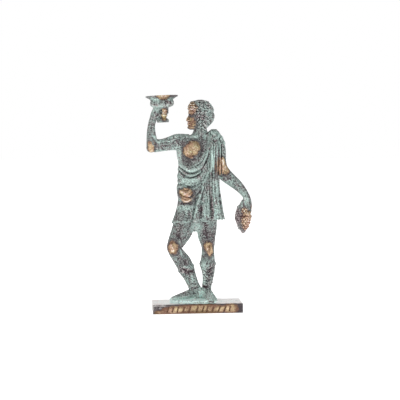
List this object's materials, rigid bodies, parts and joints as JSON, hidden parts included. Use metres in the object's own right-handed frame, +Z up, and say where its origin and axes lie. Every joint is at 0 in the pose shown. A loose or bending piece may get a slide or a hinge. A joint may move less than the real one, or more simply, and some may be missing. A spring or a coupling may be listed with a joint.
{
  "type": "bronze dionysus statuette",
  "caption": "Small cast bronze statuette of the young wine god in a short tunic and cloak, raising a cup and lowering a bunch of grapes, on a flat bar.",
  "frame": {"origin": "middle of the bar's flat underside, which rests on the table", "axes": "+Z up through the figure, -Y the front that the chest faces, -X the side of the raised cup, which the head is turned to"},
  "size_m": [0.0778, 0.0283, 0.1586],
  "materials": {
    "bare_bronze": "cast bronze with a worn polish, dark in the corners",
    "patinated_bronze": "cast bronze with speckled blue-green verdigris over dark brown, polished bare on the high spots"
  },
  "bodies": {
    "root": {"plinth": "bare_bronze", "figure": "patinated_bronze"}
  },
  "joints": []
}
